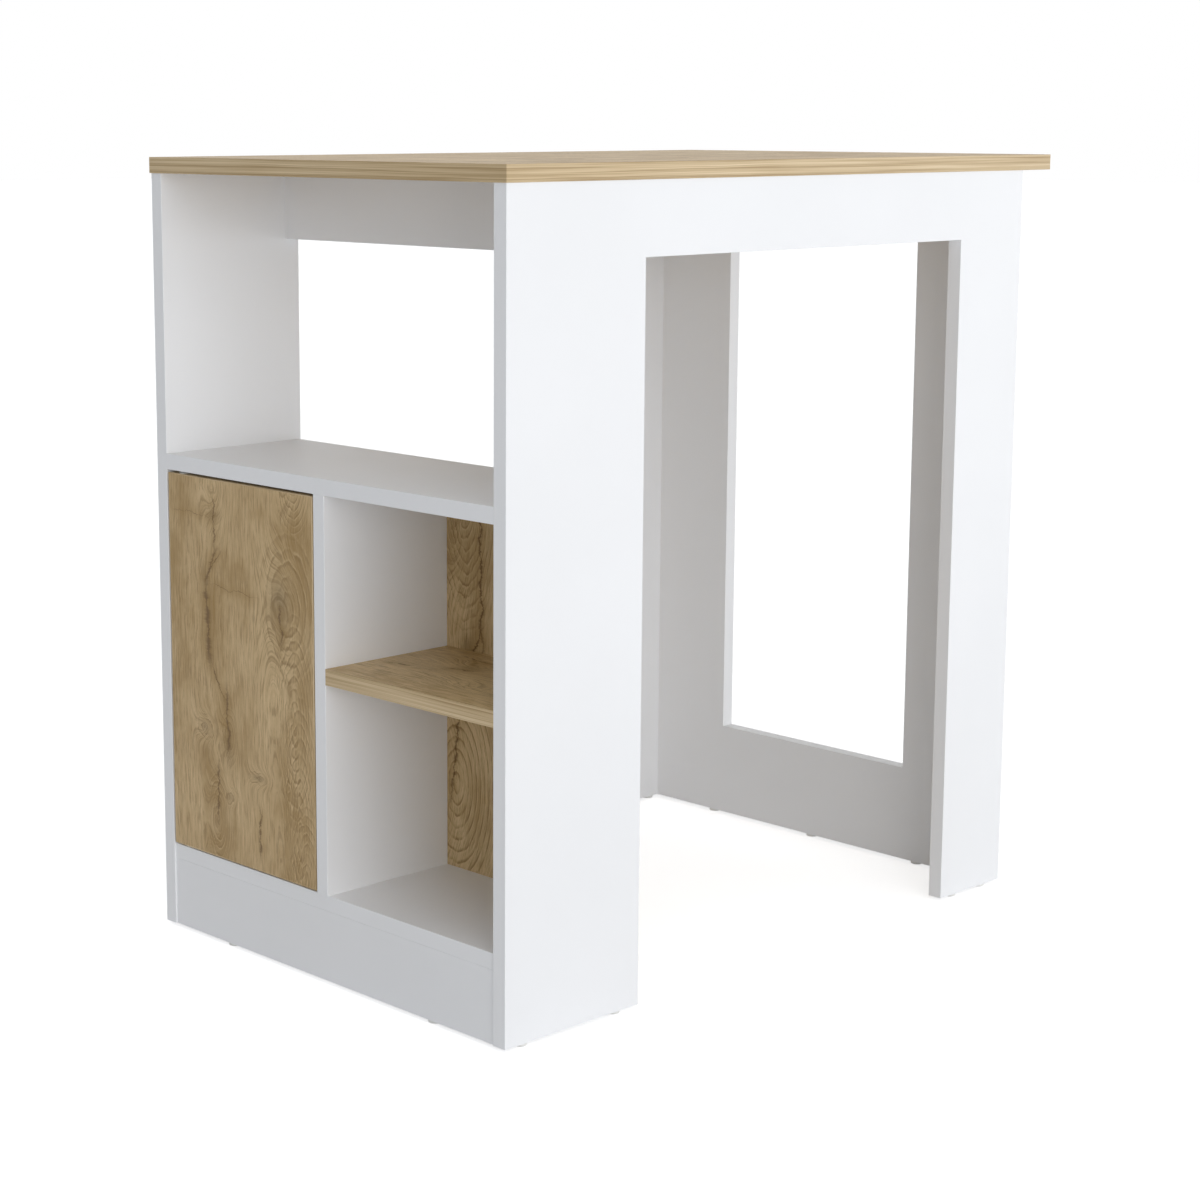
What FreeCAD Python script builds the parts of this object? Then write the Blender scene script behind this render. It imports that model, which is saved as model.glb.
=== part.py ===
import FreeCAD, Part
import os

# Kitchen island of melamine board: an oak top on two U-shaped white sides, a window panel at
# the open end and a shallow cabinet at the other, with a niche, an oak door and open shelves.
# All sizes are in millimetres. x runs from the cabinet front to the open end, y from the near
# long side to the far one, z up. The origin is on the floor, under the middle of the top.

# Overall
top_length = 910.0
top_depth = 583.0
overall_height = 900.0
top_overhang = 1.5  # past the cabinet front and past both long sides
end_overhang = 53.5  # past the end panel, at the open end
top_thickness = 18.0
board = 18.0  # side panels, end panel and cabinet boards
edging = 1.0  # glued strips on the boards' visible edges
edge_round = 0.5

# Long sides
front_leg = 198.0
end_leg = 119.0
rail_height = 79.0

# End panel
end_recess = 1.0
end_stile = 120.0
end_bottom_rail = 120.0
end_top_rail = 79.0

# Cabinet
cabinet_depth = 196.0
kick_height = 80.0
kick_recess = 2.0
compartment_height = 444.0
shelf_height = 255.0  # top of the open shelf above the bottom board
apron_height = 79.0

# Door
door_thickness = 18.0
door_free_gap = 2.0
door_hinge_gap = 2.5
door_bottom_gap = 2.0
door_top_gap = 3.0
swing_clearance = 0.5  # least room between the turning door and the far side

# Door pivots
pivot_pin_radius = 2.5
pin_in_door = 14.0
pin_in_board = 8.0
bush_wall = 1.5
bush_floor = 1.0
flange_radius = 6.0
flange_thickness = 0.8
running_clearance = 0.05

# Push latch
latch_drop = 60.0  # plunger axis below the niche floor
latch_length = 46.0
latch_width = 17.0
latch_height = 16.0
latch_reach = 7.5  # plunger in front of the housing
latch_axis_offset = 11.0  # plunger axis from the divider
plunger_radius = 4.0
plunger_length = 32.0
plunger_travel = 3.0
plunger_clearance = 0.1
magnet_radius = 2.8
magnet_length = 3.0
latch_ear_width = 12.0
latch_ear_height = 9.0
latch_ear_thickness = 3.0
latch_corner = 1.5
spring_radius = 2.6
spring_wire = 0.35
spring_turns = 6
strike_radius = 7.0
strike_thickness = 1.2
strike_peg_radius = 2.4
strike_peg_length = 9.0
strike_gap = 0.3
screw_radius = 1.6
screw_length = 14.0
screw_head_radius = 3.2
screw_head_height = 2.0

# Knock-down fittings
fit_clearance = 0.1
hole_end_room = 0.5
cam_radius = 7.5
cam_past_middle = 4.0  # cam depth beyond the middle of its board
cam_setback = 24.0
cam_slot_length = 9.0
cam_slot_width = 1.6
cam_slot_depth = 2.0
bolt_radius = 2.5
bolt_thread_length = 11.0
bolt_neck_radius = 2.0
bolt_head_radius = 3.3
bolt_hole_radius = 4.0
dowel_radius = 4.0
dowel_in_face = 11.0
dowel_in_edge = 19.0
dowel_chamfer = 0.8
cap_radius = 8.8
cap_thickness = 0.8
fitting_pitch = 32.0  # from a cam to the dowel beside it
fitting_margin = 40.0  # first cam from the end of a long joint
rail_cam_inset = 80.0  # countertop cams from the ends of a long rail
end_cam_height = 60.0  # lowest and highest cams of the end panel

# Glides
glide_radius = 7.5
glide_height = 4.0
glide_round = 1.2
glide_edge_inset = 30.0
glide_spread = 172.0  # glides of the kick plate and end panel from the middle line
nail_radius = 0.9
nail_length = 18.0
nail_head_radius = 2.4
nail_head_height = 0.8
nail_recess = 1.4

# Planes that the pieces share
x_front = -top_length / 2 + top_overhang
x_end = top_length / 2 - end_overhang
x_back = x_front + cabinet_depth
x_back_face = x_back - board
x_portal_front = x_front + front_leg
x_portal_end = x_end - end_leg
y_near = -top_depth / 2 + top_overhang
y_far = -y_near
y_near_in = y_near + board
y_far_in = y_far - board
y_divider_near = -board / 2
y_divider_far = board / 2
z_foot = glide_height
z_top = overall_height - top_thickness
z_rail = z_top - rail_height
z_bottom = z_foot + kick_height
z_bottom_top = z_bottom + board
z_niche_under = z_bottom_top + compartment_height
z_niche_floor = z_niche_under + board
z_shelf_top = z_bottom_top + shelf_height

X = FreeCAD.Vector(1, 0, 0)
Y = FreeCAD.Vector(0, 1, 0)
Z = FreeCAD.Vector(0, 0, 1)

nodes = {}
bores = {}


def box(x0, x1, y0, y1, z0, z1):
    """Box between two corners."""
    return Part.makeBox(x1 - x0, y1 - y0, z1 - z0, FreeCAD.Vector(x0, y0, z0))


def strip(x0, x1, y0, y1, z0, z1, outward):
    """Edge strip whose long corners on the side that faces outward are eased."""
    solid = box(x0, x1, y0, y1, z0, z1)
    middle = solid.BoundBox.Center
    size = FreeCAD.Vector(x1 - x0, y1 - y0, z1 - z0)
    longest = max(size)
    eased = []
    for edge in solid.Edges:
        beyond = (edge.CenterOfMass - middle).dot(outward)
        if beyond > 0 and abs(edge.Length - longest) < edging / 2:
            eased.append(edge)
    return solid.makeFillet(min(edge_round, edging / 2), eased)


def bore(node, mouth, direction, radius, depth):
    """Remember a blind hole in a board; it starts a little outside, so that its mouth is open."""
    start = mouth - direction * hole_end_room
    hole = Part.makeCylinder(radius, depth + hole_end_room, start, direction)
    bores.setdefault(node, []).append(hole)


def turned(points, origin, axis, other):
    """Solid of revolution from a closed outline of (radius, height) points about an axis."""
    outline = [origin + other * radius + axis * height for radius, height in points]
    face = Part.Face(Part.makePolygon(outline + outline[:1]))
    return face.revolve(origin, axis, 360)


def placed(solid, origin, along, up):
    """Copy of a fitting modelled at the origin, with its x axis along and its z axis up."""
    turn = FreeCAD.Rotation(along, up.cross(along), up, "ZXY")
    return solid.transformed(FreeCAD.Placement(origin, turn).toMatrix(), True)


# Countertop and its four edge strips

def make_countertop():
    half_length = top_length / 2
    half_depth = top_depth / 2
    inner_length = half_length - edging
    inner_depth = half_depth - edging
    nodes["countertop"] = box(
        -inner_length, inner_length, -inner_depth, inner_depth, z_top, overall_height)
    nodes["top_edging"] = Part.makeCompound([
        strip(-half_length, half_length, -half_depth, -inner_depth, z_top, overall_height, -Y),
        strip(-half_length, half_length, inner_depth, half_depth, z_top, overall_height, Y),
        strip(-half_length, -inner_length, -inner_depth, inner_depth, z_top, overall_height, -X),
        strip(inner_length, half_length, -inner_depth, inner_depth, z_top, overall_height, X),
    ])


# The two long sides, each one board cut to an upside-down U

def make_side(name, y0, y1):
    core = box(x_front + edging, x_end - edging, y0, y1, z_foot, z_top)
    portal = box(
        x_portal_front - edging, x_portal_end + edging, y0, y1, z_foot, z_rail + edging)
    nodes[name + "_side_panel"] = core.cut(portal)
    nodes[name + "_side_edging"] = Part.makeCompound([
        strip(x_front, x_front + edging, y0, y1, z_foot, z_top, -X),
        strip(x_end - edging, x_end, y0, y1, z_foot, z_top, X),
        strip(x_portal_front - edging, x_portal_front, y0, y1, z_foot, z_rail, X),
        strip(x_portal_end, x_portal_end + edging, y0, y1, z_foot, z_rail, -X),
        strip(x_portal_front - edging, x_portal_end + edging, y0, y1, z_rail, z_rail + edging, -Z),
    ])


# End panel with its window

x_end_outside = x_end - end_recess
x_end_inside = x_end_outside - board
y_window_near = y_near_in + end_stile
y_window_far = y_far_in - end_stile
z_window_sill = z_foot + end_bottom_rail
z_window_head = z_top - end_top_rail


def make_end_panel():
    x0 = x_end_inside
    x1 = x_end_outside
    near = y_window_near - edging
    far = y_window_far + edging
    sill = z_window_sill - edging
    head = z_window_head + edging
    core = box(x0, x1, y_near_in, y_far_in, z_foot, z_top)
    nodes["end_panel"] = core.cut(box(x0, x1, near, far, sill, head))
    nodes["end_panel_edging"] = Part.makeCompound([
        strip(x0, x1, near, far, sill, z_window_sill, Z),
        strip(x0, x1, near, far, z_window_head, head, -Z),
        strip(x0, x1, near, y_window_near, z_window_sill, z_window_head, Y),
        strip(x0, x1, y_window_far, far, z_window_sill, z_window_head, -Y),
    ])


# Cabinet boards

x_kick = x_front + kick_recess


def make_cabinet():
    nodes["niche_floor"] = box(
        x_front + edging, x_back - edging, y_near_in, y_far_in, z_niche_under, z_niche_floor)
    nodes["bottom_board"] = box(
        x_kick + edging, x_back - edging, y_near_in, y_far_in, z_bottom, z_bottom_top)
    nodes["kick_plate"] = box(x_kick, x_kick + board, y_near_in, y_far_in, z_foot, z_bottom)
    nodes["divider"] = box(
        x_front + edging, x_back_face, y_divider_near, y_divider_far, z_bottom_top, z_niche_under)
    nodes["back_panel"] = box(
        x_back_face, x_back, y_near_in, y_far_in, z_bottom_top, z_niche_under)
    z_apron = z_top - apron_height
    nodes["back_apron"] = box(
        x_back_face, x_back, y_near_in, y_far_in, z_apron + edging, z_top)
    nodes["cabinet_edging"] = Part.makeCompound([
        strip(x_front, x_front + edging, y_near_in, y_far_in, z_niche_under, z_niche_floor, -X),
        strip(x_back - edging, x_back, y_near_in, y_far_in, z_niche_under, z_niche_floor, X),
        strip(x_kick, x_kick + edging, y_near_in, y_far_in, z_bottom, z_bottom_top, -X),
        strip(x_back - edging, x_back, y_near_in, y_far_in, z_bottom, z_bottom_top, X),
        strip(x_front, x_front + edging, y_divider_near, y_divider_far,
              z_bottom_top, z_niche_under, -X),
        strip(x_back_face, x_back, y_near_in, y_far_in, z_apron, z_apron + edging, -Z),
    ])


# Open shelf

def make_shelf():
    z0 = z_shelf_top - board
    nodes["open_shelf"] = box(
        x_front + edging, x_back_face, y_near_in, y_divider_near, z0, z_shelf_top)
    nodes["shelf_edging"] = strip(
        x_front, x_front + edging, y_near_in, y_divider_near, z0, z_shelf_top, -X)


# Door, inset between the divider and the far side

x_door_back = x_front + door_thickness
y_door_free = y_divider_far + door_free_gap
y_door_hinge = y_far_in - door_hinge_gap
z_door_low = z_bottom_top + door_bottom_gap
z_door_high = z_niche_under - door_top_gap

# The pivots sit in the middle of the door's thickness, just far enough from its hinge edge
# for its front corner to turn past the far side.
x_pivot = x_front + door_thickness / 2
swing_room = door_hinge_gap - swing_clearance
pivot_inset = ((door_thickness / 2) ** 2 - swing_room ** 2) / (2 * swing_room)
y_pivot = y_door_hinge - pivot_inset


def make_door():
    x0 = x_front
    x1 = x_door_back
    free = y_door_free + edging
    hinge = y_door_hinge - edging
    low = z_door_low + edging
    high = z_door_high - edging
    nodes["door_panel"] = box(x0, x1, free, hinge, low, high)
    nodes["door_edging"] = Part.makeCompound([
        strip(x0, x1, y_door_free, free, z_door_low, z_door_high, -Y),
        strip(x0, x1, hinge, y_door_hinge, z_door_low, z_door_high, Y),
        strip(x0, x1, free, hinge, z_door_low, low, -Z),
        strip(x0, x1, free, hinge, high, z_door_high, Z),
    ])


# Door pivots: a steel pin above and below, each held by a bush in the door and turning in a
# bush in the board

def make_pivots():
    pins = []
    door_bushes = []
    board_bushes = []
    ends = (
        ("bottom_board", z_bottom_top, z_door_low, -Z),
        ("niche_floor", z_niche_under, z_door_high, Z),
    )
    for board_node, z_board, z_door, out in ends:
        at_door = FreeCAD.Vector(x_pivot, y_pivot, z_door)
        at_board = FreeCAD.Vector(x_pivot, y_pivot, z_board)
        gap = abs(z_board - z_door)
        pins.append(Part.makeCylinder(
            pivot_pin_radius, pin_in_door + gap + pin_in_board, at_door - out * pin_in_door, out))
        inner = pivot_pin_radius + running_clearance
        outer = inner + bush_wall
        door_depth = pin_in_door + bush_floor
        door_bushes.append(turned(
            [(0, -door_depth), (outer, -door_depth), (outer, 0), (flange_radius, 0),
             (flange_radius, flange_thickness), (inner, flange_thickness),
             (inner, -pin_in_door), (0, -pin_in_door)],
            at_door, out, X))
        board_depth = pin_in_board + bush_floor
        board_bushes.append(turned(
            [(0, board_depth), (outer, board_depth), (outer, 0), (flange_radius, 0),
             (flange_radius, -flange_thickness), (inner, -flange_thickness),
             (inner, pin_in_board + hole_end_room), (0, pin_in_board + hole_end_room)],
            at_board, out, X))
        hole = outer + running_clearance
        bore("door_panel", at_door, -out, hole, door_depth)
        bore("door_edging", at_door, -out, hole, door_depth)
        bore(board_node, at_board, out, hole, board_depth)
    nodes["door_pivot_pins"] = Part.makeCompound(pins)
    nodes["door_bushes"] = Part.makeCompound(door_bushes)
    nodes["board_bushes"] = Part.makeCompound(board_bushes)


# Push latch on the divider, behind the door's free edge

y_latch = y_divider_far + latch_axis_offset
z_latch = z_niche_under - latch_drop
x_strike = x_door_back + strike_thickness
x_plunger = x_strike + strike_gap
x_latch = x_plunger + latch_reach


def make_latch():
    x_latch_end = x_latch + latch_length
    x_ear_middle = x_latch + latch_length / 2
    y_ear = y_divider_far + latch_ear_thickness
    low = z_latch - latch_height / 2
    high = z_latch + latch_height / 2
    block = box(x_latch, x_latch_end, y_divider_far, y_divider_far + latch_width, low, high)
    long_edges = [
        edge for edge in block.Edges
        if edge.CenterOfMass.y > y_divider_far + latch_width - latch_corner]
    block = block.makeFillet(latch_corner, long_edges)
    ears = box(
        x_ear_middle - latch_ear_width / 2, x_ear_middle + latch_ear_width / 2,
        y_divider_far, y_ear, low - latch_ear_height, high + latch_ear_height)
    housing = block.fuse(ears).removeSplitter()

    tip = FreeCAD.Vector(x_plunger, y_latch, z_latch)
    plunger_end = x_plunger + plunger_length
    spring_room = plunger_travel + 2 * spring_wire * (spring_turns + 1)
    cavity = Part.makeCylinder(
        plunger_radius + plunger_clearance, plunger_end + spring_room - x_latch,
        FreeCAD.Vector(x_latch, y_latch, z_latch), X)
    housing = housing.cut(cavity)

    screws = []
    for z in (low - latch_ear_height / 2, high + latch_ear_height / 2):
        head = FreeCAD.Vector(x_ear_middle, y_ear, z)
        shank = Part.makeCylinder(screw_radius, screw_length, head, -Y)
        cross = box(
            x_ear_middle - screw_head_radius / 2, x_ear_middle + screw_head_radius / 2,
            y_ear + screw_head_height / 2, y_ear + screw_head_height,
            z - screw_radius / 4, z + screw_radius / 4)
        cap = Part.makeCylinder(screw_head_radius, screw_head_height, head, Y)
        cap = cap.makeFillet(screw_head_height / 2, [cap.Edges[0]])
        turned_cross = cross.copy()
        turned_cross.rotate(head, Y, 90)
        screws.append(shank.fuse(cap).removeSplitter().cut([cross, turned_cross]))
        hole = screw_radius + fit_clearance
        housing = housing.cut(Part.makeCylinder(hole, latch_ear_thickness, head, -Y))
        bore("divider", FreeCAD.Vector(x_ear_middle, y_divider_far, z), -Y, hole,
             screw_length - latch_ear_thickness + hole_end_room)
    nodes["latch_housing"] = housing
    nodes["latch_screws"] = Part.makeCompound(screws)

    plunger = Part.makeCylinder(plunger_radius, plunger_length, tip, X)
    pocket = Part.makeCylinder(magnet_radius + fit_clearance, magnet_length, tip, X)
    nodes["latch_plunger"] = plunger.cut(pocket)
    nodes["latch_magnet"] = Part.makeCylinder(magnet_radius, magnet_length, tip, X)

    # The spring lies between the plunger and the end of the cavity, clear of both ends by a
    # little, and its wire ends are square to the coil.
    lead = spring_wire + hole_end_room / 2
    coil_length = spring_room - 2 * lead
    helix = Part.makeHelix(coil_length / spring_turns, coil_length, spring_radius)
    wire_end = Part.Wire(Part.makeCircle(
        spring_wire, FreeCAD.Vector(spring_radius, 0, 0), Y))
    coil = Part.Wire(helix).makePipeShell([wire_end], True, True)
    nodes["latch_spring"] = placed(
        coil, FreeCAD.Vector(plunger_end + lead, y_latch, z_latch), -Z, X)

    plate = Part.makeCylinder(
        strike_radius, strike_thickness, FreeCAD.Vector(x_door_back, y_latch, z_latch), X)
    plate = plate.makeFillet(strike_thickness / 3, [
        edge for edge in plate.Edges if edge.CenterOfMass.x > x_door_back + strike_thickness / 2])
    behind = FreeCAD.Vector(x_door_back, y_latch, z_latch)
    peg = Part.makeCylinder(strike_peg_radius, strike_peg_length, behind, -X)
    nodes["strike_plate"] = plate.fuse(peg).removeSplitter()
    bore("door_panel", behind, -X, strike_peg_radius + fit_clearance,
         strike_peg_length + hole_end_room)


# Knock-down fittings. A cam lies in the face of one board and draws a bolt that is screwed
# into the other; a dowel beside it keeps the boards in line. Both are modelled once, with x
# along the bolt from the seam into the cam's board and z out of the cam's face.

cam_depth = board / 2 + cam_past_middle


def model_cam():
    body = Part.makeCylinder(cam_radius, cam_depth, FreeCAD.Vector(0, 0, -cam_depth), Z)
    axis_point = FreeCAD.Vector(-cam_radius - cam_slot_depth, 0, -board / 2)
    head_room = bolt_head_radius + fit_clearance
    channel = Part.makeCylinder(head_room, cam_radius + cam_slot_depth, axis_point, X)
    pocket = Part.makeSphere(head_room, FreeCAD.Vector(0, 0, -board / 2))
    half_length = cam_slot_length / 2
    half_width = cam_slot_width / 2
    slot = box(-half_length, half_length, -half_width, half_width, -cam_slot_depth, 0)
    cross = box(-half_width, half_width, -half_length, half_length, -cam_slot_depth, 0)
    return body.cut([channel, pocket, slot, cross])


def model_bolt():
    middle = -board / 2
    thread = Part.makeCylinder(
        bolt_radius, bolt_thread_length,
        FreeCAD.Vector(-cam_setback - bolt_thread_length, 0, middle), X)
    neck = Part.makeCylinder(
        bolt_neck_radius, cam_setback, FreeCAD.Vector(-cam_setback, 0, middle), X)
    head = Part.makeSphere(bolt_head_radius, FreeCAD.Vector(0, 0, middle))
    return thread.fuse([neck, head]).removeSplitter()


def model_dowel():
    length = dowel_in_face + dowel_in_edge
    peg = Part.makeCylinder(dowel_radius, length, FreeCAD.Vector(-dowel_in_face, 0, 0), X)
    ends = [edge for edge in peg.Edges if edge.isClosed()]
    return peg.makeChamfer(dowel_chamfer, ends)


def model_cap():
    disc = Part.makeCylinder(cap_radius, cap_thickness)
    rim = [edge for edge in disc.Edges if edge.CenterOfMass.z > cap_thickness / 2]
    return disc.makeFillet(cap_thickness / 2, rim)


fittings = {"cam_locks": [], "cam_bolts": [], "wood_dowels": [], "cam_caps": []}
cam = model_cam()
bolt = model_bolt()
dowel = model_dowel()
cap = model_cap()


def add_cam(board_node, mate_node, seam, inward, face):
    """Cam and bolt across a seam; seam is a point on it in the middle of the cam's board."""
    mouth = seam + inward * cam_setback + face * (board / 2)
    fittings["cam_locks"].append(placed(cam, mouth, inward, face))
    fittings["cam_bolts"].append(placed(bolt, mouth, inward, face))
    bore(board_node, mouth, -face, cam_radius + fit_clearance, cam_depth + fit_clearance)
    bore(board_node, seam, inward, bolt_hole_radius, cam_setback)
    bore(mate_node, seam, -inward, bolt_radius + fit_clearance, bolt_thread_length + hole_end_room)
    return mouth


def add_dowel(board_node, mate_node, seam, inward, across):
    """Dowel across a seam, half in the edge of one board and half in the face of the other."""
    hole = dowel_radius + fit_clearance
    fittings["wood_dowels"].append(placed(dowel, seam, inward, across))
    bore(board_node, seam, inward, hole, dowel_in_edge + hole_end_room)
    bore(mate_node, seam, -inward, hole, dowel_in_face + hole_end_room)


def join_to_sides(board_node, places, face):
    """Fittings at both ends of a board that runs from side to side."""
    for mate, y, inward in (("near_side_panel", y_near_in, Y), ("far_side_panel", y_far_in, -Y)):
        for kind, x, z in places:
            seam = FreeCAD.Vector(x, y, z)
            if kind == "dowel":
                add_dowel(board_node, mate, seam, inward, face)
            else:
                mouth = add_cam(board_node, mate, seam, inward, face)
                if kind == "capped cam":
                    fittings["cam_caps"].append(placed(cap, mouth, inward, face))


def make_fittings():
    x_first = x_front + fitting_margin
    x_last = x_back_face - fitting_margin
    x_rear = x_back - board / 2
    for node, z in (("niche_floor", z_niche_floor - board / 2), ("bottom_board", z_bottom_top - board / 2)):
        join_to_sides(node, (
            ("cam", x_first, z), ("dowel", x_first + fitting_pitch, z), ("cam", x_last, z)), -Z)

    z_kick = z_foot + kick_height / 2
    join_to_sides("kick_plate", (
        ("cam", x_kick + board / 2, z_kick - fitting_pitch / 2),
        ("dowel", x_kick + board / 2, z_kick + fitting_pitch / 2)), X)
    z_apron = z_top - apron_height / 2
    join_to_sides("back_apron", (
        ("cam", x_rear, z_apron + fitting_pitch / 2),
        ("dowel", x_rear, z_apron - fitting_pitch / 2)), X)
    z_low = z_bottom_top + fitting_margin
    z_high = z_niche_under - fitting_margin
    join_to_sides("back_panel", (
        ("cam", x_rear, z_low), ("dowel", x_rear, z_low + fitting_pitch),
        ("dowel", x_rear, z_high - fitting_pitch), ("cam", x_rear, z_high)), X)

    x_end_middle = x_end_outside - board / 2
    z_low = z_foot + end_cam_height
    z_high = z_top - end_cam_height
    z_middle = (z_low + z_high) / 2
    join_to_sides("end_panel", (
        ("capped cam", x_end_middle, z_low), ("dowel", x_end_middle, z_low + fitting_pitch),
        ("capped cam", x_end_middle, z_middle), ("dowel", x_end_middle, z_high - fitting_pitch),
        ("capped cam", x_end_middle, z_high)), X)

    # The divider's cams hide behind the door, the shelf's under it
    for mate, z, inward in (("bottom_board", z_bottom_top, Z), ("niche_floor", z_niche_under, -Z)):
        for x, kind in ((x_first, add_cam), (x_first + fitting_pitch, add_dowel), (x_last, add_cam)):
            kind("divider", mate, FreeCAD.Vector(x, 0, z), inward, Y)
    z_shelf = z_shelf_top - board / 2
    for mate, y, inward in (("near_side_panel", y_near_in, Y), ("divider", y_divider_near, -Y)):
        for x, kind in ((x_first, add_cam), (x_first + fitting_pitch, add_dowel), (x_last, add_cam)):
            kind("open_shelf", mate, FreeCAD.Vector(x, y, z_shelf), inward, -Z)

    # The countertop's bolts go down into the rails, the apron and the end panel
    for x in (x_portal_front + rail_cam_inset, x_portal_end - rail_cam_inset):
        for node, y, face in (
                ("near_side_panel", y_near + board / 2, Y), ("far_side_panel", y_far - board / 2, -Y)):
            add_cam(node, "countertop", FreeCAD.Vector(x, y, z_top), -Z, face)
            add_dowel(node, "countertop", FreeCAD.Vector(x + fitting_pitch, y, z_top), -Z, face)
    for side in (-1, 1):
        y = side * (y_far_in / 2)
        y_dowel = y - side * fitting_pitch
        for node, x, face in (("back_apron", x_rear, X), ("end_panel", x_end_middle, -X)):
            add_cam(node, "countertop", FreeCAD.Vector(x, y, z_top), -Z, face)
            add_dowel(node, "countertop", FreeCAD.Vector(x, y_dowel, z_top), -Z, face)
    for name, solids in fittings.items():
        nodes[name] = Part.makeCompound(solids)


# Glides: a plastic foot on a nail

def make_glides():
    feet = []
    nails = []
    places = []
    for y, node in ((y_near + board / 2, "near_side_panel"), (y_far - board / 2, "far_side_panel")):
        for x in (x_front + glide_edge_inset, x_portal_front - glide_edge_inset,
                  x_portal_end + glide_edge_inset, x_end - glide_edge_inset):
            places.append((node, x, y))
    for y in (-glide_spread, glide_spread):
        places.append(("kick_plate", x_kick + board / 2, y))
    for y in (-glide_spread, 0, glide_spread):
        places.append(("end_panel", x_end_outside - board / 2, y))
    hole = nail_radius + fit_clearance
    recess = nail_head_radius + fit_clearance
    for node, x, y in places:
        ground = FreeCAD.Vector(x, y, 0)
        foot = Part.makeCylinder(glide_radius, glide_height, ground, Z)
        rim = [edge for edge in foot.Edges if edge.isClosed() and edge.CenterOfMass.z < glide_height / 2]
        foot = foot.makeFillet(glide_round, rim)
        foot = foot.cut([
            Part.makeCylinder(recess, nail_recess, ground, Z),
            Part.makeCylinder(hole, glide_height, ground, Z)])
        feet.append(foot)
        head_base = ground + Z * (nail_recess - nail_head_height)
        head = Part.makeCylinder(nail_head_radius, nail_head_height, head_base, Z)
        shank = Part.makeCylinder(nail_radius, nail_length, head_base, Z)
        nails.append(head.fuse(shank).removeSplitter())
        bore(node, ground + Z * z_foot, Z, hole, head_base.z + nail_length - z_foot + hole_end_room)
    nodes["floor_glides"] = Part.makeCompound(feet)
    nodes["glide_nails"] = Part.makeCompound(nails)


make_countertop()
make_side("near", y_near, y_near_in)
make_side("far", y_far_in, y_far)
make_end_panel()
make_cabinet()
make_shelf()
make_door()
make_pivots()
make_latch()
make_fittings()
make_glides()

os.makedirs("parts", exist_ok=True)
for name, shape in nodes.items():
    if name in bores:
        shape = shape.cut(bores[name])
    shape.exportStep("parts/" + name + ".step")
    print(name, len(shape.Solids), "solids", round(shape.Volume / 1000, 2), "cm3", shape.isValid())
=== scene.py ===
# %% [markdown]
# A kitchen island of melamine-faced board: an oak-look countertop on two white sides that are cut
# to upside-down U shapes, a windowed panel at the open end and a shallow cabinet at the other.
# The boards, their edge strips and the fittings come from the CAD model and keep their shapes.
# Blender's share is the finishes, the light and the camera.

# %% Load the CAD model
import math

import bpy
from mathutils import Color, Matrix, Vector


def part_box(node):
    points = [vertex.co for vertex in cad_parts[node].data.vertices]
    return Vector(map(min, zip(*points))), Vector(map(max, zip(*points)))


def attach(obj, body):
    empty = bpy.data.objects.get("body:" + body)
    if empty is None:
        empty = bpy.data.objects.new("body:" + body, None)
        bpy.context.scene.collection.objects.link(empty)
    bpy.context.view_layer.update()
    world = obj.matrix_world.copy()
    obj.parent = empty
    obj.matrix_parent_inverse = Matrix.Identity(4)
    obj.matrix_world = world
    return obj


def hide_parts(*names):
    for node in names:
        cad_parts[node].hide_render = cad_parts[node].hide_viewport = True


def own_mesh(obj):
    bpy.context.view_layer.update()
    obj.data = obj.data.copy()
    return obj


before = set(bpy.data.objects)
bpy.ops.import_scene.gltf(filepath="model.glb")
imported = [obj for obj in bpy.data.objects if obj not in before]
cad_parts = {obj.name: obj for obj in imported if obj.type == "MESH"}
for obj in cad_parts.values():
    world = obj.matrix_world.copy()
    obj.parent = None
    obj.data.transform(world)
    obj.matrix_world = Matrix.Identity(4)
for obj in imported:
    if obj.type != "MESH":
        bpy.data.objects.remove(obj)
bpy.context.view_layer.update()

# %% [markdown]
# The picture was taken from beyond the cabinet's corner of the near long side, a little higher
# than the countertop. A camera can be aimed by a Track To constraint or by plain angles. The
# angles are used here, because the place and the angles were both worked out from the edges
# of the boards in the picture. The island stands left of the lens axis in the uncut picture,
# which the shift makes good.

# %% Camera
camera_place = (-2.1372, -2.0448, 0.9445)
camera_drop = math.radians(9.51)
camera_turn = math.radians(-43.17)
camera_lens = 75.0
sensor_width = 36.0
frame_shift = (0.1016, -0.0535)

camera_data = bpy.data.cameras.new("photo_camera")
camera_data.lens = camera_lens
camera_data.sensor_width = sensor_width
camera_data.shift_x, camera_data.shift_y = frame_shift
camera = bpy.data.objects.new("photo_camera", camera_data)
camera.location = camera_place
camera.rotation_euler = (math.pi / 2 - camera_drop, 0.0, camera_turn)
bpy.context.scene.collection.objects.link(camera)
bpy.context.scene.camera = camera
print("camera at", camera_place, "lens", camera_lens)

# %% [markdown]
# Every finish below is a small network of shader nodes. The networks could be wired by hand in
# the shader editor, but helpers keep them short to write. A colour is written as the 0 to 255
# values that a picture shows and turned to linear light. Feed links a socket or sets a plain
# number on it, calc is one Math node, join makes a vector, speckle is one Noise Texture, ease is
# a smooth Map Range, and blend mixes two colours. Most of a noise lies between 0.3 and 0.7, so a
# step that should follow all of it runs between those two.

# %% Node helpers
NOISE_LOW, NOISE_HIGH = 0.3, 0.7


def paint(red, green, blue):
    """A colour from its 0 to 255 picture values, as linear light."""
    colour = Color((red / 255, green / 255, blue / 255)).from_srgb_to_scene_linear()
    return (colour.r, colour.g, colour.b, 1.0)


def feed(tree, socket, value):
    """Link an output into the socket, or set the socket to a plain value."""
    if isinstance(value, bpy.types.NodeSocket):
        tree.links.new(value, socket)
    else:
        socket.default_value = value


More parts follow.
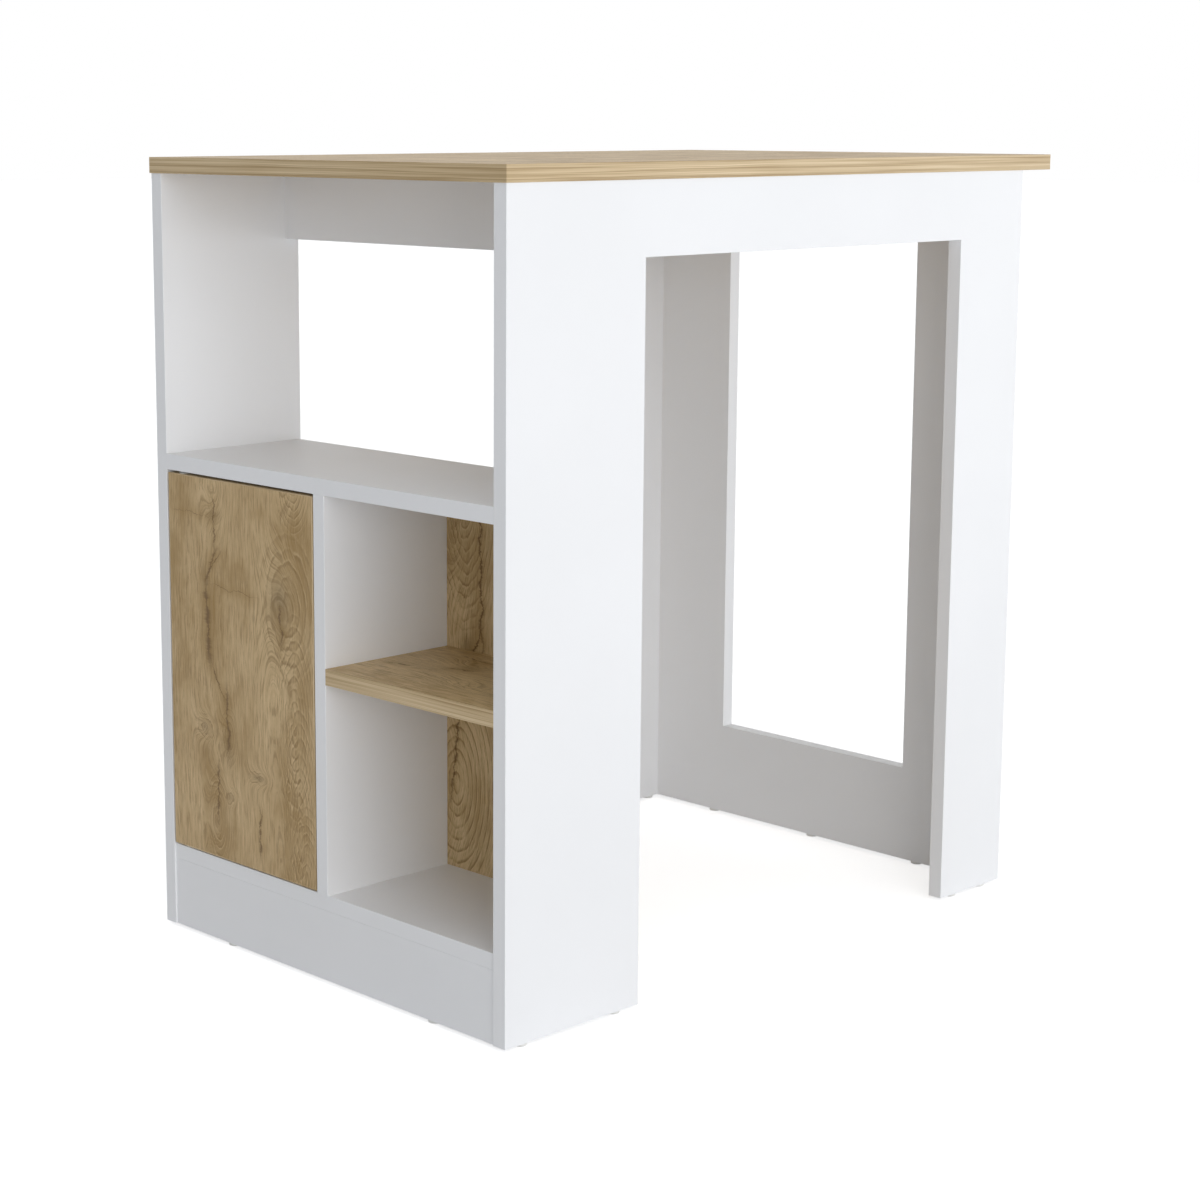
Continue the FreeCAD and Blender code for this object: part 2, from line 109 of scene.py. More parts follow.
def calc(tree, operation, first, second=0.0, third=0.0):
    node = tree.nodes.new("ShaderNodeMath")
    node.operation = operation
    for socket, value in zip(node.inputs, (first, second, third)):
        feed(tree, socket, value)
    return node.outputs["Value"]


def join(tree, x, y, z):
    node = tree.nodes.new("ShaderNodeCombineXYZ")
    for socket, value in zip(node.inputs, (x, y, z)):
        feed(tree, socket, value)
    return node.outputs["Vector"]


def speckle(tree, place, scale, detail=2.0, roughness=0.5):
    node = tree.nodes.new("ShaderNodeTexNoise")
    feed(tree, node.inputs["Vector"], place)
    node.inputs["Scale"].default_value = scale
    node.inputs["Detail"].default_value = detail
    node.inputs["Roughness"].default_value = roughness
    return node.outputs["Fac"]


def ease(tree, value, start, end, low=0.0, high=1.0):
    """A smooth step from low at start to high at end."""
    node = tree.nodes.new("ShaderNodeMapRange")
    node.interpolation_type = "SMOOTHSTEP"
    for name, number in (("Value", value), ("From Min", start), ("From Max", end),
                         ("To Min", low), ("To Max", high)):
        feed(tree, node.inputs[name], number)
    return node.outputs["Result"]


def blend(tree, share, first, second):
    node = tree.nodes.new("ShaderNodeMix")
    node.data_type = "RGBA"
    feed(tree, node.inputs["Factor"], share)
    feed(tree, node.inputs["A"], first)
    feed(tree, node.inputs["B"], second)
    return node.outputs["Result"]


print("a picture's middle grey, 128, is", round(paint(128, 128, 128)[0], 3), "in linear light")

# %% [markdown]
# A finish starts as a material with one Principled shader. Its pattern reads Object coordinates,
# which are the CAD model's own metres, so a pattern has its true size and stays on the piece when
# the piece moves. They are scaled to millimetres, the unit that a furniture maker works in. A CAD
# piece gets its finish in its material slots, and its mesh stays as it is.

# %% Finish helpers
MM_PER_M = 1000.0


def begin_finish(name):
    """A new material with only its shader and output; returns it, its tree and the shader."""
    finish = bpy.data.materials.new(name)
    finish.use_nodes = True
    tree = finish.node_tree
    tree.nodes.clear()
    output = tree.nodes.new("ShaderNodeOutputMaterial")
    shader = tree.nodes.new("ShaderNodeBsdfPrincipled")
    tree.links.new(shader.outputs["BSDF"], output.inputs["Surface"])
    return finish, tree, shader


def object_place(tree):
    """Object coordinates in millimetres."""
    coordinates = tree.nodes.new("ShaderNodeTexCoord")
    mapping = tree.nodes.new("ShaderNodeMapping")
    mapping.inputs["Scale"].default_value = (MM_PER_M, MM_PER_M, MM_PER_M)
    tree.links.new(coordinates.outputs["Object"], mapping.inputs["Vector"])
    return mapping.outputs["Vector"]


def object_parts(tree):
    """The three object coordinates in millimetres, each on its own."""
    parts = tree.nodes.new("ShaderNodeSeparateXYZ")
    tree.links.new(object_place(tree), parts.inputs["Vector"])
    return parts.outputs


def raise_grain(tree, shader, height, depth_mm, strength):
    node = tree.nodes.new("ShaderNodeBump")
    node.inputs["Strength"].default_value = strength
    node.inputs["Distance"].default_value = depth_mm / MM_PER_M
    tree.links.new(height, node.inputs["Height"])
    tree.links.new(node.outputs["Normal"], shader.inputs["Normal"])


def dress(finish, *node_names):
    """Give a finish to CAD pieces by replacing what their material slots hold."""
    for name in node_names:
        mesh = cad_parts[name].data
        if not mesh.materials:
            mesh.materials.append(finish)
        for index in range(len(mesh.materials)):
            mesh.materials[index] = finish
    print(finish.name, "on", ", ".join(node_names))


print("patterns are drawn in millimetres,", MM_PER_M, "to the metre")

# %% [markdown]
# The white boards are particle board faced with melamine paper: a cool white with a satin
# surface that is pressed against a lightly textured plate. It could be left a plain white, but
# a fine pearl texture in the bump and a slow drift of tone and gloss keep the large faces from
# looking like paint. The edge strips are plastic: the same white, a little smoother and glossier,
# with a softer and coarser skin.

# %% White boards and strips
white_paper = paint(243, 244, 246)
white_shade = paint(241, 242, 244)
white_drift_mm = 220
pearl_strength = 0.35


def make_white(name, pearl_mm, pearl_depth, roughness):
    finish, tree, shader = begin_finish(name)
    place = object_place(tree)
    drift = speckle(tree, place, 1 / white_drift_mm, detail=3.0)
    pearl = speckle(tree, place, 1 / pearl_mm, detail=2.0, roughness=0.6)
    colour = blend(tree, ease(tree, drift, NOISE_LOW, NOISE_HIGH), white_paper, white_shade)
    feed(tree, shader.inputs["Base Color"], colour)
    feed(tree, shader.inputs["Roughness"],
         ease(tree, pearl, NOISE_LOW, NOISE_HIGH, *roughness))
    raise_grain(tree, shader, pearl, pearl_depth, pearl_strength)
    return finish


white_melamine = make_white("white_melamine", 0.9, 0.03, (0.44, 0.54))
white_edging = make_white("white_edging", 1.6, 0.02, (0.38, 0.46))
dress(white_melamine, "near_side_panel", "far_side_panel", "end_panel", "niche_floor",
      "bottom_board", "kick_plate", "divider", "back_apron")
dress(white_edging, "near_side_edging", "far_side_edging", "end_panel_edging", "cabinet_edging")

# %% [markdown]
# The oak is a printed paper of rustic oak, with knots and cracks. A Wave Texture gives stripes,
# but real figure flows round its knots, so the figure is built up from noise that is drawn long
# and thin. Stretch gives such a noise, with patches of a size that is set for each way along the
# board, and push moves a value to and fro by a noise, which bends whatever is drawn with it.

# %% Oak colours and grain
oak_light = paint(216, 189, 143)
oak_middle = paint(196, 168, 122)
oak_dark = paint(166, 136, 86)
oak_line = paint(128, 97, 42)
oak_knot = paint(122, 97, 52)
oak_stain = paint(144, 110, 42)
oak_crack = paint(98, 66, 0)


def stretch(tree, first, second, layer, size_mm, detail=2.0, roughness=0.5):
    """Noise whose patches measure size_mm the first way and the second way."""
    place = join(tree, calc(tree, "DIVIDE", first, size_mm[0]),
                 calc(tree, "DIVIDE", second, size_mm[1]), layer)
    return speckle(tree, place, 1.0, detail, roughness)


def push(tree, value, noise, reach_mm):
    """Move a value by up to half the reach either way."""
    return calc(tree, "MULTIPLY_ADD", calc(tree, "SUBTRACT", noise, 0.5), reach_mm, value)


print("red of light and dark oak, linear:", round(oak_light[0], 3), round(oak_dark[0], 3))

# %% [markdown]
# Where a saw cuts through the tree's rings they show as a nest of ovals, one inside the other,
# and a branch shows as a dark knot in the middle of one. Both are drawn by how far a point is from
# the oval's centre. Rings could come from a Wave Texture set to rings, but a plain count of the
# distance lets each nest have its own number of rings, its own waver and places where they fade.
# A ring goes from 0 to 1: its late wood darkens slowly to a sharp end, where the light early wood
# of the next one starts.

# %% Rings and knots
nest_rim = 0.6
light_ring_depth = 0.7


def off_centre(tree, across, along, centre_across, centre_along, reach_across, reach_along):
    """0 in the middle of an oval and 1 on its rim, squared."""
    side = calc(tree, "DIVIDE", calc(tree, "SUBTRACT", across, centre_across), reach_across)
    way = calc(tree, "DIVIDE", calc(tree, "SUBTRACT", along, centre_along), reach_along)
    return calc(tree, "MULTIPLY_ADD", side, side, calc(tree, "MULTIPLY", way, way))


def bell(tree, square):
    """A smooth hill, 1 where the squared distance is 0 and near 0 where it is 4."""
    return calc(tree, "EXPONENT", calc(tree, "MULTIPLY", square, -1.0))


def draw_nest(tree, colour, square, rings, waver, depth, ripple, worn):
    """Broken rings inside each other, each with a dark and a light side, fading at the rim."""
    far = calc(tree, "SQRT", square)
    ring = calc(tree, "FRACT", push(tree, calc(tree, "MULTIPLY", far, rings), ripple, waver))
    fade = calc(tree, "MULTIPLY", ease(tree, far, 1.0, nest_rim, 0.0, depth), worn)
    late_wood = calc(tree, "MULTIPLY", ease(tree, ring, 0.6, 0.9), ease(tree, ring, 1.0, 0.93))
    early_wood = calc(tree, "MULTIPLY", ease(tree, ring, 0.3, 0.08),
                      ease(tree, ring, 0.0, 0.06, 0.0, light_ring_depth))
    colour = blend(tree, calc(tree, "MULTIPLY", early_wood, fade), colour, oak_light)
    return blend(tree, calc(tree, "MULTIPLY", late_wood, fade), colour, oak_line)


def stain_knot(tree, colour, across, along, knot, rough):
    """Darken the oval heart of a knot, with a ragged rim."""
    *oval, depth = knot
    hill = bell(tree, off_centre(tree, across, along, *oval))
    ragged = calc(tree, "MULTIPLY", hill, ease(tree, rough, 0.68, 0.3, 0.45, 1.25))
    return blend(tree, calc(tree, "MULTIPLY", ragged, depth), colour, oak_knot)


print("rings fade over the outer", round(1 - nest_rim, 2), "of a nest")

# %% [markdown]
# A crack in rustic oak wanders, opens and closes, and has a brown stain round it. It could be a
# thin mesh on the board, but it is only print on the paper. So it is drawn as a line between two
# places that a noise pushes about, with a dark core whose width another noise changes, and both the
# core and the stain fade towards its ends.

# %% Cracks
crack_wander_size = (1.0, 22.0)
crack_wander_mm = 20.0
crack_gape_size = (1.0, 9.0)
crack_narrow, crack_wide = 0.2, 1.2
crack_core_depth = 0.9
crack_stain_mm = 12.0
crack_stain_widths = 2.5
crack_fade = 0.3


def hump(tree, off, reach):
    """A smooth ridge, 1 on a line and near 0 at twice the reach from it."""
    share = calc(tree, "DIVIDE", off, reach)
    return bell(tree, calc(tree, "MULTIPLY", share, share))


def split_crack(tree, colour, across, along, crack, layer, cloud):
    """A wandering dark crack from one place to another, inside a soft brown stain."""
    start_across, start_along, end_across, end_along, width, stain = crack
    share = calc(tree, "DIVIDE", calc(tree, "SUBTRACT", along, start_along),
                 end_along - start_along)
    line = calc(tree, "MULTIPLY_ADD", share, end_across - start_across, start_across)
    wander = stretch(tree, start_across, along, layer, crack_wander_size, 5.0, 0.7)
    off = calc(tree, "SUBTRACT", across, push(tree, line, wander, crack_wander_mm))
    window = calc(tree, "MULTIPLY", ease(tree, share, 0.0, crack_fade),
                  ease(tree, share, 1.0, 1.0 - crack_fade))
    gape = stretch(tree, start_along, along, layer, crack_gape_size, 3.0, 0.6)
    opening = ease(tree, gape, 0.35, 0.65, width * crack_narrow, width * crack_wide)
    core = hump(tree, off, opening)
    core = calc(tree, "MULTIPLY", core, calc(tree, "MULTIPLY", window, crack_core_depth))
    spread = calc(tree, "MULTIPLY_ADD", cloud, crack_stain_mm, width * crack_stain_widths)
    halo = hump(tree, off, spread)
    halo = calc(tree, "MULTIPLY", halo, calc(tree, "MULTIPLY", window, stain))
    return blend(tree, core, blend(tree, halo, colour, oak_stain), oak_crack)


print("cracks wander up to", crack_wander_mm / 2, "mm either way")

# %% [markdown]
# One recipe makes all four oak sheets. A value called growth stands for the tree's rings: it rises
# across the board, wanders slowly, and is lifted round each nest. Fibres, pores and bands are noise
# drawn along lines of equal growth, so they all bend round the nests together. Rings, knots, cracks
# and checks, which are cracks across the grain, are then drawn on top. Each sheet takes its own
# layer of the noise, and tone lightens it. Sizes are across and along the grain, in millimetres.

# %% Oak recipe
X_AXIS, Y_AXIS, Z_AXIS = 0, 1, 2
ripple_size = (15.0, 36.0)
ripple_mm = 7.0
wander_size = (110.0, 480.0)
wander_mm = 60.0
band_size = (24.0, 700.0)
fibre_size = (2.8, 110.0)
pore_size = (1.4, 30.0)
cloud_size = (75.0, 130.0)
wear_size = (12.0, 26.0)
nest_lift = 0.9
layers_per_mm = 0.21
fibre_share, cloud_share, band_share = 0.42, 0.5, 0.1
pore_depth = 0.55
amber_depth = 0.3
pore_groove = 0.6
oak_roughness = (0.52, 0.42)
grain_depth_mm = 0.08
grain_strength = 0.5


def make_oak(name, axes, layer, nests, knots, cracks, checks=(), tone=0.0):
    """Oak whose grain runs along axes[0], with axes[1] across and axes[2] through the board."""
    finish, tree, shader = begin_finish(name)
    parts = object_parts(tree)
    along, across, through = [parts[axis] for axis in axes]
    sheet = calc(tree, "MULTIPLY_ADD", through, layers_per_mm, layer)

    ripple = stretch(tree, across, along, sheet, ripple_size, 4.0, 0.6)
    swayed = push(tree, across, ripple, ripple_mm)
    growth = push(tree, swayed, stretch(tree, across, along, sheet, wander_size), wander_mm)
    ovals = []
    for *oval, rings, waver, depth in nests:
        square = off_centre(tree, swayed, along, *oval)
        ovals.append((square, rings, waver, depth))
        hill = bell(tree, calc(tree, "MULTIPLY", square, 2.0))
        reach_across = oval[2]
        growth = calc(tree, "MULTIPLY_ADD", hill, reach_across * nest_lift, growth)

    bands = stretch(tree, growth, along, sheet, band_size)
    fibres = stretch(tree, growth, along, sheet, fibre_size, 5.0, 0.74)
    pores = stretch(tree, growth, along, sheet, pore_size, 3.0, 0.6)
    clouds = stretch(tree, across, along, sheet, cloud_size, 4.0, 0.6)
    wear = stretch(tree, growth, along, sheet, wear_size, 3.0, 0.65)

    shade = calc(tree, "MULTIPLY_ADD", fibres, fibre_share,
                 calc(tree, "MULTIPLY", clouds, cloud_share))
    shade = calc(tree, "MULTIPLY_ADD", bands, band_share, shade)
    colour = blend(tree, ease(tree, shade, 0.37 - tone, 0.54 - tone), oak_dark, oak_middle)
    colour = blend(tree, ease(tree, shade, 0.51 - tone, 0.68 - tone), colour, oak_light)
    colour = blend(tree, ease(tree, pores, 0.47, 0.64, 0.0, pore_depth), colour, oak_line)
    colour = blend(tree, ease(tree, clouds, 0.53, 0.36, 0.0, amber_depth), colour, oak_stain)
    worn = ease(tree, wear, 0.38, 0.6, 0.25, 1.0)
    for square, rings, waver, depth in ovals:
        colour = draw_nest(tree, colour, square, rings, waver, depth, ripple, worn)
    for knot in knots:
        colour = stain_knot(tree, colour, swayed, along, knot, fibres)
    for crack in cracks:
        colour = split_crack(tree, colour, across, along, crack, sheet, clouds)
    for check in checks:
        colour = split_crack(tree, colour, along, across, check, sheet, clouds)

    feed(tree, shader.inputs["Base Color"], colour)
    feed(tree, shader.inputs["Roughness"],
         ease(tree, fibres, NOISE_LOW, NOISE_HIGH, *oak_roughness))
    relief = calc(tree, "MULTIPLY_ADD", pores, -pore_groove, fibres)
    raise_grain(tree, shader, relief, grain_depth_mm, grain_strength)
    print(name, len(nests), "nests,", len(knots), "knots,", len(cracks), "cracks")
    return finish


# %% [markdown]
# The door's sheet has the strongest figure: a long crack down its hinge half, an eye round a
# grey knot, arches above it and curls near its foot. A nest of rings is an oval given by its
# place across and along the board, its reach both ways, how many rings it holds, how much they
# waver and how dark they are. A knot has a place, a reach and a depth of stain. A crack has its
# two ends, its width and its stain, and a check is a fine crack that runs across the grain. All
# lengths are in millimetres.

# %% Oak door
door_nests = [
    (54, 414, 62, 100, 6, 1.3, 0.65), (44, 556, 38, 74, 9, 1.6, 0.65),
    (44, 286, 46, 150, 11, 1.2, 0.65), (36, 160, 46, 190, 12, 1.4, 0.65),
    (26, 110, 40, 110, 10, 2.0, 0.6), (183, 536, 26, 54, 6, 1.0, 0.55),
    (185, 150, 28, 72, 8, 1.3, 0.7), (163, 250, 20, 44, 5, 2.0, 0.7),
    (208, 254, 23, 20, 3, 3.6, 0.7), (162, 180, 18, 14, 2, 3.4, 0.6),
    (110, 212, 25, 12, 3, 3.2, 0.65),
]
door_knots = [
    (69, 417, 16, 25, 1.0), (66, 392, 6, 20, 0.6), (208, 254, 7, 7, 0.7),
    (165, 240, 8, 18, 0.7), (110, 212, 11, 4, 0.8), (186, 502, 11, 7, 0.7),
    (114, 394, 4, 5, 0.5), (162, 180, 7, 5, 0.4), (199, 372, 6, 34, 0.6),
    (203, 430, 7, 18, 0.45),
]
door_cracks = [
    (186, 536, 186, 452, 1.2, 0.35), (180, 472, 205, 416, 2.6, 0.45),
    (170, 466, 198, 436, 1.3, 0.3), (203, 442, 196, 310, 4.2, 0.65),
    (198, 340, 166, 282, 1.5, 0.4), (167, 320, 164, 214, 2.6, 0.6),
    (69, 424, 66, 364, 1.8, 0.45), (109, 186, 107, 110, 2.2, 0.35),
    (183, 228, 186, 134, 2.0, 0.4),
]
door_checks = [(502, 272, 499, 176, 0.3, 0.3), (424, 204, 417, 96, 0.35, 0.3)]
oak_door = make_oak("oak_door", (Z_AXIS, Y_AXIS, X_AXIS), 3.1,
                    door_nests, door_knots, door_cracks, door_checks)
dress(oak_door, "door_panel")

# %% [markdown]
# The back of the open compartments shows nested arches and two cracks, and its grain stands
# upright like the door's. The shelf has its grain from side to side and carries a few short dark
# splits. Both are printed on the same paper, so the recipe is the same with other places. Their
# raised tone is painted light: it draws both sheets lighter to make up for the shade they stand in.

# %% Oak back and shelf
back_nests = [
    (-40, 522, 66, 170, 13, 1.9, 0.7), (-25, 201, 88, 176, 13, 0.7, 0.75),
    (-190, 400, 64, 240, 9, 2.2, 0.5), (140, 330, 90, 420, 12, 2.6, 0.5),
]
back_knots = [(-40, 530, 7, 14, 0.6), (-42, 362, 9, 14, 0.7), (-190, 402, 8, 14, 0.6)]
back_cracks = [
    (-61, 610, -68, 310, 2.4, 0.3), (-72, 396, -38, 322, 2.2, 0.35),
    (-42, 360, -10, 150, 2.4, 0.25), (-51, 312, -112, 262, 1.8, 0.3),
]
# painted light: tone 0.11 draws the back's oak lighter, in place of light that the compartments
# keep from it
oak_back = make_oak("oak_back", (Z_AXIS, Y_AXIS, X_AXIS), 7.7,
                    back_nests, back_knots, back_cracks, tone=0.11)
dress(oak_back, "back_panel")

shelf_nests = [(-330, -110, 30, 60, 5, 2.0, 0.35), (-400, -200, 26, 80, 5, 2.0, 0.35)]
shelf_knots = [(-338, -112, 7, 14, 0.5)]
shelf_cracks = [
    (-382, -18, -374, -66, 1.5, 0.3), (-356, -86, -340, -136, 1.6, 0.35),
    (-300, -54, -306, -120, 1.2, 0.25),
]
# painted light: tone 0.09 draws the shelf's oak lighter, in place of light that its recess keeps
# from it
oak_shelf = make_oak("oak_shelf", (Y_AXIS, X_AXIS, Z_AXIS), 11.3,
                     shelf_nests, shelf_knots, shelf_cracks, tone=0.09)
dress(oak_shelf, "open_shelf")

# %% [markdown]
# The countertop is the same paper with its grain along the length. A long board is cut near the
# middle of the tree, so its nests are drawn out to half a metre, and three small knots break the
# long lines.

# %% Oak countertop
top_nests = [
    (-190, -110, 84, 470, 11, 2.6, 0.5), (-20, 170, 96, 560, 12, 2.6, 0.5),
    (150, -80, 88, 520, 11, 2.6, 0.5), (250, 250, 54, 320, 7, 2.2, 0.45),
    (-120, -250, 34, 60, 5, 1.2, 0.6), (136, 50, 30, 54, 5, 1.2, 0.6),
    (-236, 190, 24, 42, 4, 1.2, 0.6),
]
top_knots = [(-121, -252, 9, 18, 0.9), (137, 52, 8, 15, 0.8), (-236, 190, 6, 11, 0.7)]
top_cracks = [
    (142, 60, 156, 210, 1.8, 0.4), (-118, -240, -96, -90, 1.6, 0.4),
    (-30, 180, -46, 330, 1.5, 0.3), (228, -350, 214, -240, 1.4, 0.3),
]
oak_top = make_oak("oak_countertop", (X_AXIS, Y_AXIS, Z_AXIS), 17.9,
                   top_nests, top_knots, top_cracks, tone=0.03)
dress(oak_top, "countertop")

# %% [markdown]
# Oak edge strips are printed plastic with straight stripes along the strip. One node holds the
# strips of all four sides, so the way along a strip is taken as the sum of the two coordinates
# that can change along one: on each strip only one of them does. Sizes are along and across the
# strip, in millimetres.

# %% Oak strips
strip_light = paint(218, 196, 158)
strip_middle = paint(199, 175, 135)
strip_dark = paint(165, 138, 94)
strip_wander_size = (160.0, 14.0)
strip_wander_mm = 2.5
stripe_size = (420.0, 3.2)
strip_fibre_size = (150.0, 0.8)
strip_fibre_share, stripe_share = 0.45, 0.6
strip_roughness = (0.48, 0.4)
strip_depth_mm = 0.04
strip_strength = 0.4


def make_oak_strip(name, along_axes, across_axis, layer):
    finish, tree, shader = begin_finish(name)
    parts = object_parts(tree)
    along = calc(tree, "ADD", *[parts[axis] for axis in along_axes])
    across = parts[across_axis]
    wander = stretch(tree, along, across, layer, strip_wander_size)
    drift = calc(tree, "MULTIPLY_ADD", wander, strip_wander_mm, across)
    stripes = stretch(tree, along, drift, layer, stripe_size)
    fibres = stretch(tree, along, drift, layer, strip_fibre_size)
    shade = calc(tree, "MULTIPLY_ADD", fibres, strip_fibre_share,
                 calc(tree, "MULTIPLY", stripes, stripe_share))
    colour = blend(tree, ease(tree, shade, 0.38, 0.54), strip_dark, strip_middle)
    colour = blend(tree, ease(tree, shade, 0.52, 0.68), colour, strip_light)
    feed(tree, shader.inputs["Base Color"], colour)
    feed(tree, shader.inputs["Roughness"],
         ease(tree, fibres, NOISE_LOW, NOISE_HIGH, *strip_roughness))
    raise_grain(tree, shader, fibres, strip_depth_mm, strip_strength)
    return finish


top_strip = make_oak_strip("oak_strip_countertop", (X_AXIS, Y_AXIS), Z_AXIS, 2.4)
shelf_strip = make_oak_strip("oak_strip_shelf", (X_AXIS, Y_AXIS), Z_AXIS, 5.8)
door_strip = make_oak_strip("oak_strip_door", (Y_AXIS, Z_AXIS), X_AXIS, 8.6)
dress(top_strip, "top_edging")
dress(shelf_strip, "shelf_edging")
dress(door_strip, "door_edging")

# %% [markdown]
# The fittings are bought parts: moulded plastic with a fine spark-eroded skin, zinc die castings
# with a dull, slightly mottled face, and plated steel that is a little brushed. Each could have a
# recipe of its own, but one with a mottle and a grain serves them all, with the metal share set on
# the shader itself. The beech dowels take it too, with a deeper and rougher grain.

# %% Fittings
mottle_mm = 6
fitting_strength = 0.4


def make_fitting(name, colour, mottle, grain_mm, roughness, metal=0.0, depth_mm=0.02):
    finish, tree, shader = begin_finish(name)
    place = object_place(tree)
    patches = speckle(tree, place, 1 / mottle_mm, detail=3.0)
    grain = speckle(tree, place, 1 / grain_mm, detail=2.0, roughness=0.6)
    shader.inputs["Metallic"].default_value = metal
    tone = blend(tree, ease(tree, patches, 0.35, 0.65), colour, mottle)
    feed(tree, shader.inputs["Base Color"], tone)
    feed(tree, shader.inputs["Roughness"],
         ease(tree, grain, NOISE_LOW, NOISE_HIGH, *roughness))
    raise_grain(tree, shader, grain, depth_mm, fitting_strength)
    return finish


white_nylon = make_fitting("white_nylon", paint(240, 240, 237), paint(230, 230, 226), 0.5,
                           (0.4, 0.52))
grey_plastic = make_fitting("grey_plastic", paint(176, 178, 180), paint(164, 166, 169), 0.4,
                            (0.42, 0.55))
zinc_cast = make_fitting("zinc_cast", paint(196, 196, 198), paint(172, 173, 176), 0.6,
                         (0.38, 0.55), metal=1.0)
plated_steel = make_fitting("plated_steel", paint(208, 208, 210), paint(192, 193, 196), 0.5,
                            (0.25, 0.38), metal=1.0, depth_mm=0.008)
nickel_magnet = make_fitting("nickel_magnet", paint(220, 217, 211), paint(206, 203, 196), 0.8,
                             (0.18, 0.28), metal=1.0, depth_mm=0.005)
beech = make_fitting("beech", paint(226, 196, 152), paint(205, 170, 122), 0.7,
                     (0.55, 0.7), depth_mm=0.05)
dress(white_nylon, "door_bushes", "board_bushes", "cam_caps", "floor_glides")
dress(grey_plastic, "latch_housing", "latch_plunger")
dress(zinc_cast, "cam_locks")
dress(plated_steel, "door_pivot_pins", "latch_screws", "strike_plate", "cam_bolts", "glide_nails")
dress(nickel_magnet, "latch_magnet")
dress(beech, "wood_dowels")

# %% [markdown]
# Inside the latch a small steel spring holds the plunger out, and it shortens by the stroke when
# the door is pushed. The CAD helix is stiff, so the plunger would cut into it. A spring of the same
# size takes its place. It could be a bevelled curve, but a Screw modifier is simpler: it winds a
# circle, which is the section of the wire, round the axis. The two ends are then filled.

# %% Latch spring
wire_radius = 0.00035
coil_radius = 0.0026
coil_turns = 6
wire_sides = 12
steps_per_turn = 24
smooth_angle = math.radians(40)

coil_low, coil_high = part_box("latch_spring")
coil_middle = (coil_low + coil_high) / 2
coil_length = coil_high.x - coil_low.x

bpy.ops.object.select_all(action="DESELECT")
bpy.ops.mesh.primitive_circle_add(vertices=wire_sides, radius=wire_radius, enter_editmode=True,
                                  location=(coil_low.x + wire_radius, coil_middle.y, coil_middle.z))
bpy.ops.transform.translate(value=(0.0, coil_radius, 0.0))
bpy.ops.object.mode_set(mode="OBJECT")
spring = bpy.context.object
spring.name = "pressed_spring"
winding = spring.modifiers.new("winding", "SCREW")
winding.axis = "X"
winding.screw_offset = (coil_length - 2 * wire_radius) / coil_turns
winding.iterations = coil_turns
winding.steps = steps_per_turn
winding.render_steps = steps_per_turn
bpy.ops.object.modifier_apply(modifier="winding")

bpy.ops.object.mode_set(mode="EDIT")
bpy.ops.mesh.select_all(action="SELECT")
bpy.ops.mesh.fill_holes(sides=wire_sides)
bpy.ops.mesh.normals_make_consistent(inside=False)
bpy.ops.object.mode_set(mode="OBJECT")
bpy.ops.object.transform_apply(location=True, rotation=False, scale=False)
bpy.ops.object.shade_smooth_by_angle(angle=smooth_angle)
spring.data.materials.append(plated_steel)
print("spring of", len(spring.data.polygons), "faces,", round(coil_length * MM_PER_M, 2), "mm long")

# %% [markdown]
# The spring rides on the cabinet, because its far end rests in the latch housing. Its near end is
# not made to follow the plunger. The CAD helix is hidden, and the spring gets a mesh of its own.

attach(spring, "carcass")
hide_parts("latch_spring")
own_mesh(spring)

# %% [markdown]
# The studio is a pale floor under an even sky. The picture's background is plain white, which
# could be had by flooding the room with light, but then the white boards would burn out. So the
# floor and the sky only look white to the camera, to mirrors and through glass, by the Light Path
# node. To the boards they give off no more than their plain level, and the floor keeps the shadow.
# The sky is a little cool, which makes up for the warm light that the oak throws into the niches.

# %% Floor and sky
white_light = (1.0, 1.0, 1.0, 1.0)
sky_level = 0.29
sky_cool = (0.96, 0.99, 1.02, 1.0)
floor_reach = 60.0
floor_pale = paint(235, 235, 236)
floor_paler = paint(238, 238, 239)
floor_grain_mm = 40
floor_roughness = 0.9
floor_lift = 0.62


def seen_directly(tree):
    """1 for what the camera, a mirror or glass sees, 0 for light on its way to a surface."""
    path = tree.nodes.new("ShaderNodeLightPath")
    seen = calc(tree, "MAXIMUM", path.outputs["Is Camera Ray"], path.outputs["Is Glossy Ray"])
    return calc(tree, "MAXIMUM", seen, path.outputs["Is Transmission Ray"])


world = bpy.data.worlds.new("studio_sky")
bpy.context.scene.world = world
world.use_nodes = True
sky_tree = world.node_tree
sky = sky_tree.nodes["Background"]
sky_seen = seen_directly(sky_tree)
feed(sky_tree, sky.inputs["Color"], blend(sky_tree, sky_seen, sky_cool, white_light))
feed(sky_tree, sky.inputs["Strength"], ease(sky_tree, sky_seen, 0.0, 1.0, sky_level, 1.0))

